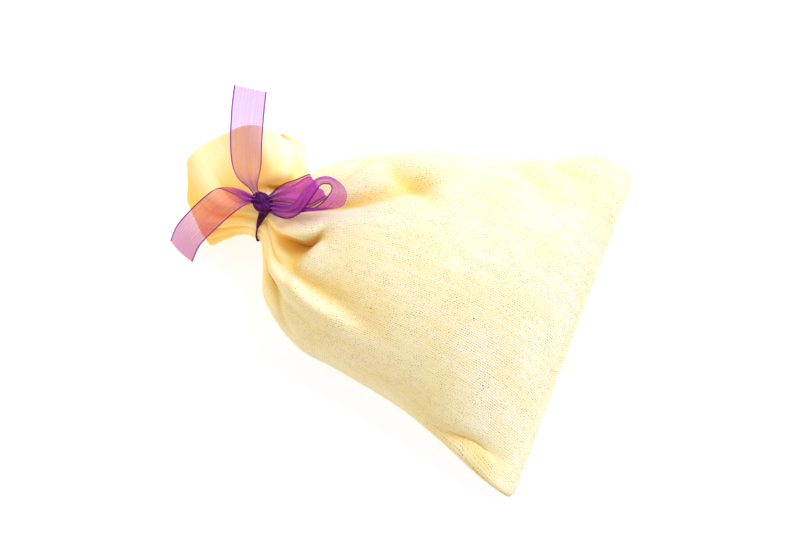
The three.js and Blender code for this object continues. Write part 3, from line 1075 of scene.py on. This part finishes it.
@dataclass
class Stretch:
    """A free stretch of the ribbon along a centre line, gathered where it goes into the knot."""

    name: str
    node: str
    rows: tuple[tuple[float, ...], ...]
    held: Held
    finish: OrganzaFinish
    # The cut end's slant, the crimps, the grid and the turned edge, in millimetres.
    slant: float = 0.0
    crimps: float = 2.5
    crimp_height: float = 0.45
    steps: int = 110
    columns: int = 41
    half: float = RIBBON_HALF
    turned_gap: float = 0.45
    turned_ease: float = 0.5
    # How far the direction across is squared to the centre line.
    square: float = 0.4

    def surface(self) -> tuple[Array, Array, Array]:
        """Work out the stretch.

        A section of the half width is carried along the centre line. Its edge is turned over where the table
        says so, the spare width goes into crimps across it, and the bow lifts its middle. A slant shifts the
        cut end's corners along the ribbon.

        Returns:
            The grid of points in millimetres, the length along the ribbon of each of its rows, and how much
            of the ribbon's width is drawn in at each point, from 0 to 1.
        """
        table = [StripRow(i, *row) for i, row in enumerate(self.rows)]
        place = np.linspace(0, len(table) - 1, self.steps)
        row = read_table(table, place)
        centre = np.stack([row.x, row.y, row.z], -1)
        ahead = unit(np.gradient(centre, axis=0))
        across = np.stack([row.ax, row.ay, row.az], -1)
        across = unit(across - self.square * ahead * np.sum(across * ahead, -1, keepdims=True))
        face = unit(np.cross(across, ahead))
        s = np.linspace(0, 1, self.columns)
        half, turned = row.half[:, None], np.maximum(row.turned, 0)[:, None]
        over = s * (2 * half + turned) - 2 * half
        offset = half - np.abs(over)
        side = offset / half
        spare = np.sqrt(np.maximum(self.half**2 - half**2, 0))
        crimp = self.crimp_height * spare * row.crimp[:, None] / self.crimps
        lift = self.turned_gap * np.clip(over / self.turned_ease + 0.5, 0, 1) * np.clip(turned, 0, 1)
        lift = lift + crimp * np.cos(np.pi * self.crimps * side) + row.bow[:, None] * (1 - side**2)
        ease = np.clip(place - place[-1] + 1, 0, 1)[:, None] ** 2
        points = centre[:, None] + across[:, None] * offset[..., None] + face[:, None] * lift[..., None]
        points = points + ahead[:, None] * (self.slant * ease * side)[..., None]
        steps = np.linalg.norm(np.diff(centre, axis=0), axis=-1)
        packed = np.broadcast_to(1 - half / self.half, offset.shape)
        return points, np.append(0, np.cumsum(steps)), packed

    def build(self) -> bpy.types.Object:
        """Build and dress the stretch.

        Returns:
            The piece.
        """
        points, along, packed = self.surface()
        u, v = np.meshgrid(np.linspace(-self.half, self.half, self.columns), along)
        uv = np.stack([u, v], -1).reshape(-1, 2)
        faces = grid_faces(self.steps, self.columns, False)
        piece = make_piece(self.name, points, faces, uv[faces.ravel()], Slot.ORGANZA, self.node)
        mark_points(piece, "packed", packed)
        piece.data.materials.append(self.finish.material())
        flat = (2 * self.half * MM, round(float(along[-1])) * MM)
        area = sum(face.area for face in piece.data.polygons)
        log.info("%s: flat %.0f mm long, area share %.2f", self.name, flat[1] / MM, area / flat[0] / flat[1])
        return piece


@dataclass
class Knot:
    """The knot and the ribbon's turn round the neck, both drawn tight."""

    # The knot, in millimetres, degrees and radians.
    centre: tuple[float, float, float] = (0.2, 0, 31.2)
    radii: tuple[float, float, float] = (3.7, 2.8, 2.3)
    lump_grid: tuple[int, int] = (49, 72)
    cant: float = -28.0
    square: float = 0.82
    creases: int = 2
    crease_depth: float = 0.42
    crease_slant: float = 1.4
    crease_sway: Wave = Wave(1.2, 2, 0.6)
    # The turn round the neck.
    turn_grid: tuple[int, int] = (144, 32)
    neck_height: float = 20.0
    neck_radius: float = 7.3
    neck_far: float = 1.0
    wrap_half: float = 1.9
    wrap_least: float = 0.22
    wrap_thick: float = 0.5
    wrap_x: float = 1.5
    wrap_sway: Wave = Wave(0.25, 2)
    wrap_creases: int = 2
    wrap_crease_depth: float = 0.15
    wrap_crease_sway: Wave = Wave(0.3, 3)
    knot_rise: float = 1.2
    taper: float = 0.95
    taper_far: float = 0.3
    # How far apart neighbouring points are on the cloth.
    uv_step: float = 0.2

    def lump(self) -> Array:
        """Work out the knot.

        It is a squarish ball, scaled to the radii and canted, whose radius has creases that wind over it at a
        slant.

        Returns:
            The grid of points in millimetres, from pole to pole and round them.
        """
        rows, columns = self.lump_grid
        polar, turn = np.meshgrid(
            np.linspace(0, np.pi, rows), np.arange(columns) * 2 * np.pi / columns, indexing="ij"
        )
        ball = np.stack([np.cos(polar), np.sin(polar) * np.cos(turn), np.sin(polar) * np.sin(turn)], -1)
        ball = np.sign(ball) * np.abs(ball) ** self.square
        wound = self.creases * (turn + self.crease_slant * np.cos(polar)) + self.crease_sway.at(turn)
        crease = self.crease_depth * np.sin(polar) * (1 - np.abs(np.sin(wound)))
        x, y, z = np.moveaxis(ball * (1 - crease)[..., None] * np.array(self.radii), -1, 0)
        cant = np.radians(self.cant)
        canted = np.stack([x * np.cos(cant) - y * np.sin(cant), x * np.sin(cant) + y * np.cos(cant), z], -1)
        return np.array(self.centre) + canted

    def turn(self) -> Array:
        """Work out the turn round the neck.

        It is a flat ring with creases along its face, widest and highest under the knot, and it tapers from
        there, sooner on the far side.

        Returns:
            The grid of points in millimetres, round the neck and round the ribbon's section.
        """
        rows, columns = self.turn_grid
        round_neck, profile = np.meshgrid(
            np.arange(rows) * 2 * np.pi / rows, np.arange(columns) * 2 * np.pi / columns, indexing="ij"
        )
        off = round_neck - np.pi / 2
        top = np.clip(1 - np.abs(off) / np.where(off < 0, self.taper_far, self.taper), 0, 1)
        wide = self.wrap_least + (self.wrap_half - self.wrap_least) * top
        wound = self.wrap_creases * profile + self.wrap_crease_sway.at(round_neck)
        crease = self.wrap_crease_depth * np.abs(np.sin(wound))
        x = self.wrap_x * (1 + top) / 2 + wide * np.cos(profile) + self.wrap_sway.at(round_neck)
        thick = (self.wrap_thick - crease) * np.sin(profile)
        radius = self.neck_radius + self.knot_rise * np.sqrt(top) + thick
        y = self.neck_far + (radius + self.neck_far) * np.cos(round_neck)
        z = self.neck_height + radius * np.sin(round_neck)
        return np.stack([x, y, z], -1)

    def build(self, material: bpy.types.Material) -> list[bpy.types.Object]:
        """Build and dress the knot and the turn.

        Args:
            material: the wound ribbon's material.

        Returns:
            The two pieces.
        """
        made = []
        for name, node, points, looped in (
            (KNOT, "ribbon_knot", self.lump(), False),
            ("ribbon_turn", "ribbon_wrap", self.turn(), True),
        ):
            rows, columns = points.shape[:2]
            faces = grid_faces(rows, columns, True, looped)
            steps = np.meshgrid(np.arange(columns) * self.uv_step, np.arange(rows) * self.uv_step)
            uv = np.stack(steps, -1).reshape(-1, 2)
            piece = make_piece(name, points, faces, uv[faces.ravel()], Slot.ORGANZA, node)
            piece.data.materials.append(material)
            made.append(piece)
        return made


# The ribbon's stretches, from the knot on: rows of StripRow without their numbers.
LOOP_FLAT = (
    (1.6, 1.6, 31.9, 0.9, -0.3, 0.72, 0.6, 1),
    (6, 3.8, 34.8, 2.8, -0.56, 0.74, 0.36, 0.9),
    (11.1, 5, 37.6, 4.2, -0.76, 0.58, 0.27, 0.5),
    (14.4, 6.9, 40.6, 4.2, -0.88, 0.45, 0.12, 0.5),
    (15.6, 7.3, 40.3, 3.9, -0.9, 0.42, 0.11, 0.5),
    (14.4, 7, 38.7, 4.2, -0.88, 0.45, 0.14, 0.5),
    (11.2, 4.8, 35.6, 4, -0.79, 0.54, 0.27, 0.5),
    (6.4, 3.4, 32.9, 2.3, -0.64, 0.67, 0.37, 0.9),
    (1.8, 1.5, 31, 0.9, -0.3, 0.7, 0.6, 1),
)
LOOP_ROUND = (
    (1.9, -0.7, 30.4, 1, -0.1, 0.57, 0.82, 1),
    (5.1, -1.4, 32.8, 1.9, -0.08, 0.51, 0.86, 1),
    (8.9, -1.9, 35.8, 2.3, -0.21, 0.43, 0.88, 0.9),
    (11.9, -0.5, 39, 2.4, -0.27, 0.24, 0.93, 0.8),
    (13.5, 1.6, 42.8, 2.6, -0.31, 0.12, 0.94, 0.7, 0.3),
    (14.9, 4.2, 45.3, 3.1, -0.23, -0.15, 0.96, 0.6, 0.5),
    (16.3, 6.7, 46.3, 3.5, -0.06, -0.16, 0.99, 0.5, 0.6),
    (18.5, 7.9, 46.3, 3.6, 0.02, -0.1, 0.99, 0.5, 0.6),
    (20.5, 7.7, 45.8, 3.7, 0.34, -0.06, 0.94, 0.5, 0.6),
    (22, 6.6, 45, 3.9, 0.63, -0.05, 0.78, 0.5, 0.6),
    (22.4, 5.1, 44, 3.9, 0.75, -0.01, 0.66, 0.5, 0.5),
    (21.5, 3.1, 42.3, 3.8, 0.8, 0.03, 0.6, 0.5, 0.4),
    (18.5, 1.5, 40, 3.2, 0.77, 0.08, 0.63, 0.6, 0.2),
    (14, 0.4, 37.3, 2.5, 0.71, 0.08, 0.7, 0.8),
    (8.5, 0.1, 34, 1.8, 0.57, 0.31, 0.76, 1),
    (2.2, 0.1, 31.2, 1, 0, 0.4, 0.92, 1),
)
TAIL_UP = (
    (-1.4, 0.9, 31.9, 1, -0.93, -0.36, 0, 1),
    (-3.6, 2.8, 33, 1.3, -0.93, -0.35, -0.1, 1),
    (-5.9, 4.9, 34.4, 3.2, -0.95, -0.3, -0.09, 0.8),
    (-7.8, 8.2, 35.6, 4.4, -0.96, -0.27, -0.07, 0.5),
    (-10.6, 14.8, 36.8, 4.8, -0.94, -0.33, -0.06, 0.1),
    (-13.5, 23.4, 37.8, 5, -0.97, -0.22, -0.06),
    (-15.4, 30, 38.4, 5, -0.98, -0.2, -0.06),
)
TAIL_LOW = (
    (-1.6, 0.2, 31.8, 0.9, -0.1, 0.7, 0.7, 0.6, 0, 1.4),
    (-4.6, -0.8, 32.3, 2.1, -0.28, 0.77, 0.57, 0.4, 0, 2.8),
    (-7.5, -2, 32.4, 3.5, -0.59, 0.64, 0.49, 0.2, 0, 2.2),
    (-10.3, -3.6, 31.3, 4.5, -0.71, 0.57, 0.41, 0, 0.3, 0.3),
    (-13, -6.3, 28.4, 4.7, -0.76, 0.5, 0.4, 0, 0.6),
    (-16.5, -10, 23, 4.7, -0.83, 0.38, 0.42, 0, 0.6),
    (-19.4, -13.2, 17, 4.6, -0.86, 0.32, 0.4, 0, 0.6),
    (-20.7, -16.3, 11, 4.6, -0.84, 0.4, 0.38, 0, 0.6),
)

LOOP_FINISH = OrganzaFinish(
    "organza_loop", ground=0.3, gathered=0.25, tint=(0.96, 0.66, 0.92, 1), lit=(0.66, 0.09, 0.60, 1)
)
RING_FINISH = OrganzaFinish(
    "organza_ring", ground=0.28, tint=(0.95, 0.66, 0.94, 1), lit=(0.66, 0.09, 0.60, 1)
)
UP_FINISH = OrganzaFinish("organza_up", ground=0.1, thread=0.12, tip=0.08, tint=(0.86, 0.74, 0.74, 1))
LOW_FINISH = OrganzaFinish("organza_low", ground=0.1, tip=0.3, gathered=0.7, tint=(0.96, 0.74, 0.68, 1))


@dataclass
class Bow:
    """The ribbon bow: a knot, the turn round the neck, two loops and two tails."""

    wound: WoundFinish = field(default_factory=WoundFinish)
    knot: Knot = field(default_factory=Knot)
    stretches: tuple[Stretch, ...] = (
        Stretch("loop_flat", "ribbon_loop_flat", LOOP_FLAT, Held.FOLDED, LOOP_FINISH),
        Stretch("loop_round", "ribbon_loop_round", LOOP_ROUND, Held.FOLDED, RING_FINISH),
        Stretch("tail_up", "ribbon_tail_up", TAIL_UP, Held.DRAPED, UP_FINISH, slant=0.6),
        Stretch("tail_low", "ribbon_tail_low", TAIL_LOW, Held.DRAPED, LOW_FINISH),
    )

    def build(self) -> list[bpy.types.Object]:
        """Build and dress the bow and return its pieces."""
        return self.knot.build(self.wound.material()) + [stretch.build() for stretch in self.stretches]


class Lamp(NamedTuple):
    """A soft square light that points at the origin: its power, colour, side and place in metres."""

    name: str
    power: float
    colour: tuple[float, float, float]
    side: float
    place: tuple[float, float, float]


@dataclass
class Studio:
    """The pale floor, the soft lights and the camera at the photo's angle."""

    # The camera's angles in degrees, and its distance and aim in millimetres.
    azimuth: float = 21.0
    elevation: float = 70.0
    distance: float = 678.0
    view_angle: float = 20.0
    aim: tuple[float, float, float] = (43.1, 1.4, 15.0)
    # The floor, its side in metres, and the lights.
    floor_side: float = 6.0
    floor_roughness: float = 0.9
    floor_colour: Colour = (0.52, 0.52, 0.53, 1)
    floor_glow: Colour = (0.53, 0.56, 0.63, 1)
    sky_strength: float = 0.72
    sky_colour: Colour = (1.0, 0.96, 0.80, 1)
    lamps: tuple[Lamp, ...] = (
        Lamp("key", 38.0, (0.42, 0.575, 1.0), 1.3, (0.55, 0.9, 1.15)),
        Lamp("fill", 4.5, (1.0, 1.0, 1.0), 1.3, (-1.0, -0.5, 0.9)),
    )
    gamma: float = 0.8

    def floor(self) -> None:
        """Build the floor, a square that glows a little."""
        corners = np.array([(-1, -1, 0), (1, -1, 0), (1, 1, 0), (-1, 1, 0)]) * self.floor_side / 2
        floor = add_mesh("floor", corners, np.array([(0, 1, 2, 3)]))
        paint = Paint("floor")
        surface = paint.node("BsdfPrincipled", {}, {
            "Base Color": self.floor_colour, "Roughness": self.floor_roughness,
            "Emission Color": self.floor_glow, "Emission Strength": 1.0,
        })
        floor.data.materials.append(paint.finish(surface))

    def lights(self) -> None:
        """Light the scene: an even warm sky, a large cool key on the far side and a weak fill opposite it."""
        scene = bpy.context.scene
        scene.world = bpy.data.worlds.new("sky")
        scene.world.use_nodes = True
        sky = scene.world.node_tree.nodes["Background"]
        sky.inputs["Color"].default_value = self.sky_colour
        sky.inputs["Strength"].default_value = self.sky_strength
        for lamp in self.lamps:
            light = bpy.data.lights.new(lamp.name, "AREA")
            light.energy = lamp.power
            light.color = lamp.colour
            light.size = lamp.side
            hung = add_object(lamp.name, light)
            hung.location = lamp.place
            hung.rotation_euler = (-hung.location).to_track_quat("-Z", "Y").to_euler()
        scene.view_settings.view_transform = "Standard"
        scene.view_settings.gamma = self.gamma

    def camera(self) -> None:
        """Place the camera on its line through the aim point."""
        turn, lift = np.radians(self.azimuth), np.radians(self.elevation)
        back = Vector((np.sin(turn) * np.cos(lift), -np.cos(turn) * np.cos(lift), np.sin(lift)))
        lens = bpy.data.cameras.new("camera")
        lens.angle = np.radians(self.view_angle)
        camera = add_object("camera", lens)
        camera.location = Vector(np.array(self.aim) * MM + TIE) + back * self.distance * MM
        camera.rotation_euler = back.to_track_quat("Z", "Y").to_euler()
        bpy.context.scene.camera = camera

    def build(self) -> None:
        """Build the floor, lights and camera."""
        self.floor()
        self.lights()
        self.camera()


def main() -> None:
    """Build the pieces in order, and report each."""
    Studio().build()
    for piece in [Bag().build(), *Bow().build()]:
        log.info("%s: %d faces", piece.name, len(piece.data.polygons))


if __name__ == "__main__":
    main()
